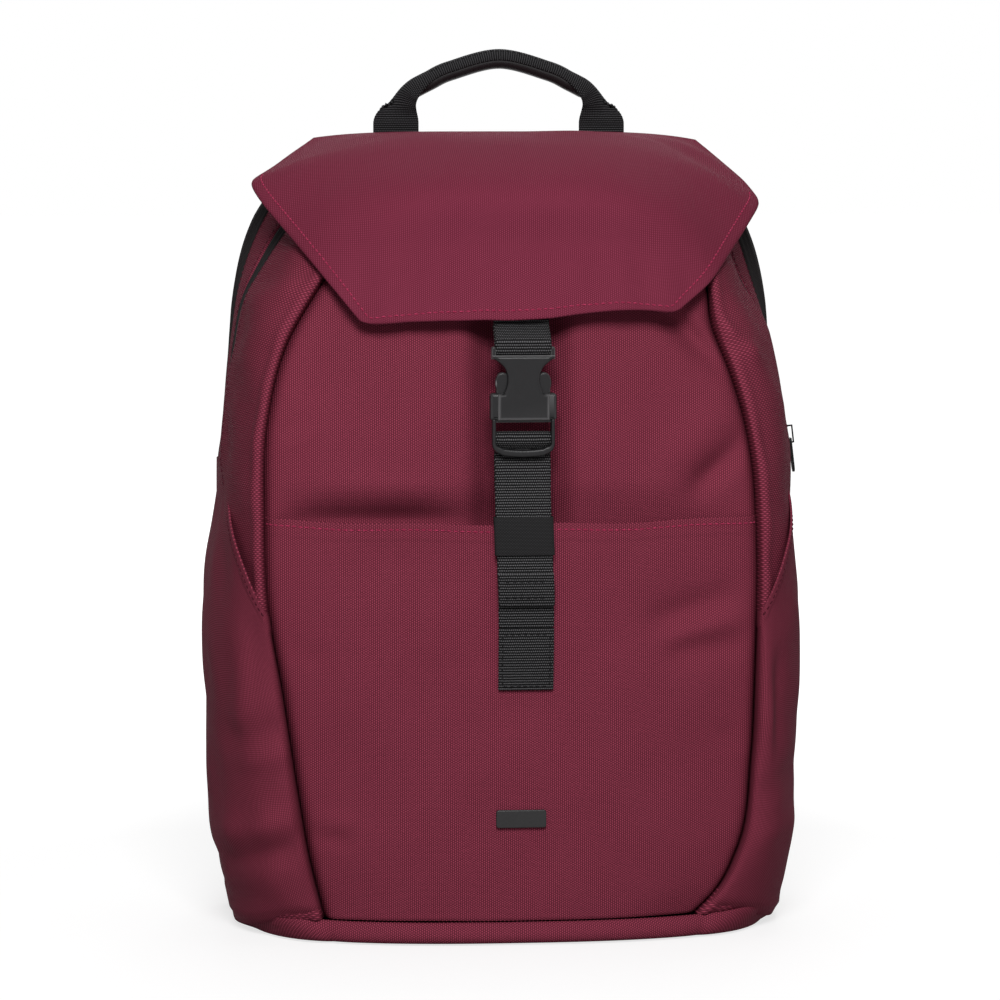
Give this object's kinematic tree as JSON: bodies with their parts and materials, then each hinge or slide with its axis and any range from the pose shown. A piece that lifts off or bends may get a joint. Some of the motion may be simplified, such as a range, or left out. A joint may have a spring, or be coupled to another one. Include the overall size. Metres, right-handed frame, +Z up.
{
  "type": "travel backpack",
  "caption": "Upright zipped backpack with a buckled lid flap, slip pocket, side bottle pockets, grip handle and padded shoulder straps.",
  "frame": {"origin": "under the middle of the base, on the floor", "axes": "+Z up, the front with the buckle faces -Y, +X to the right of someone facing the front"},
  "size_m": [0.3052, 0.218, 0.4452],
  "materials": {
    "canvas": "woven burgundy polyester",
    "lining": "plain dark lining cloth",
    "webbing": "ribbed black webbing",
    "plastic": "fine-grained black moulding",
    "tape": "black zip tape with a nylon coil",
    "mesh": "black spacer mesh over foam",
    "rubber": "smooth black rubber",
    "steel": "black enamelled zinc",
    "foam": "dark cloth over foam board"
  },
  "bodies": {
    "bag": {"front_panel": "canvas", "front_pocket_panel": "canvas", "front_gusset": "canvas", "left_side_panel": "canvas", "right_side_panel": "canvas", "left_bottle_pocket": "canvas", "right_bottle_pocket": "canvas", "mid_gusset": "canvas", "back_gusset": "canvas", "base_panel": "canvas", "base_board": "foam", "back_panel": "foam", "laptop_divider": "foam", "left_back_pad": "mesh", "right_back_pad": "mesh", "blank_patch": "rubber", "main_zip": "tape", "laptop_zip": "tape", "strap_anchor": "webbing", "left_handle_base": "webbing", "right_handle_base": "webbing", "left_strap_wing": "canvas", "right_strap_wing": "canvas", "left_strap_tab": "canvas", "right_strap_tab": "canvas"},
    "flap": {"flap_panel": "canvas", "flap_lining": "lining", "flap_strap": "webbing", "buckle_socket": "plastic"},
    "strap": {"closing_strap": "webbing", "strap_keeper": "webbing", "buckle_plug": "plastic"},
    "left_prong": {"left_prong": "plastic"},
    "right_prong": {"right_prong": "plastic"},
    "handle": {"handle_webbing": "webbing", "handle_core": "rubber"},
    "left_strap": {"left_shoulder_pad": "mesh", "left_ladder_lock": "plastic", "left_strap_webbing": "webbing"},
    "right_strap": {"right_shoulder_pad": "mesh", "right_ladder_lock": "plastic", "right_strap_webbing": "webbing"},
    "main_slider": {"main_slider": "steel"},
    "main_pull": {"main_pull": "steel"},
    "laptop_slider": {"laptop_slider": "steel"},
    "laptop_pull": {"laptop_pull": "steel"}
  },
  "joints": [
    {"name": "flap_open", "type": "hinge", "parent": "bag", "child": "flap", "pos_m": [0, 0.0695, 0.4025], "axis": [-1, 0, 0], "range_deg": [0, 140]},
    {"name": "strap_drop", "type": "hinge", "parent": "bag", "child": "strap", "pos_m": [0, -0.0827, 0.16], "axis": [1, 0, 0], "range_deg": [0, 141.52]},
    {"name": "handle_fold", "type": "hinge", "parent": "bag", "child": "handle", "pos_m": [0, 0.0836, 0.3975], "axis": [-1, 0, 0], "range_deg": [0, 77]},
    {"name": "left_prong_squeeze", "type": "hinge", "parent": "strap", "child": "left_prong", "pos_m": [-0.0124, -0.083, 0.2684], "axis": [0, 1, 0], "range_deg": [0, 6], "stiffness_Nm_per_rad": 0.1},
    {"name": "right_prong_squeeze", "type": "hinge", "parent": "strap", "child": "right_prong", "pos_m": [0.0124, -0.083, 0.2684], "axis": [0, -1, 0], "range_deg": [0, 6], "stiffness_Nm_per_rad": 0.1},
    {"name": "left_strap_swing", "type": "hinge", "parent": "bag", "child": "left_strap", "pos_m": [-0.022, 0.096, 0.384], "axis": [0.2732, 0, 0.962], "range_deg": [-25, 30]},
    {"name": "right_strap_swing", "type": "hinge", "parent": "bag", "child": "right_strap", "pos_m": [0.022, 0.096, 0.384], "axis": [0.2732, 0, -0.962], "range_deg": [-25, 30]},
    {"name": "main_slide", "type": "slide", "parent": "bag", "child": "main_slider", "axis": [-0.1139, 0, 0.9935], "range_m": [0, 0.024]},
    {"name": "main_pull_swing", "type": "hinge", "parent": "main_slider", "child": "main_pull", "pos_m": [0.14773, 0.0123, 0.24524], "axis": [0, -1, 0], "range_deg": [0, 110]},
    {"name": "laptop_slide", "type": "slide", "parent": "bag", "child": "laptop_slider", "axis": [-0.0491, 0, 0.9988], "range_m": [0, 0.024]},
    {"name": "laptop_pull_swing", "type": "hinge", "parent": "laptop_slider", "child": "laptop_pull", "pos_m": [0.14836, 0.0483, 0.24499], "axis": [0, -1, 0], "range_deg": [0, 110]}
  ],
  "couplings": [
    {"joint": "strap_drop", "follows": "flap_open", "ratio": 1.0108},
    {"joint": "handle_fold", "follows": "flap_open", "ratio": 0.55},
    {"joint": "right_prong_squeeze", "follows": "left_prong_squeeze", "ratio": 1}
  ]
}
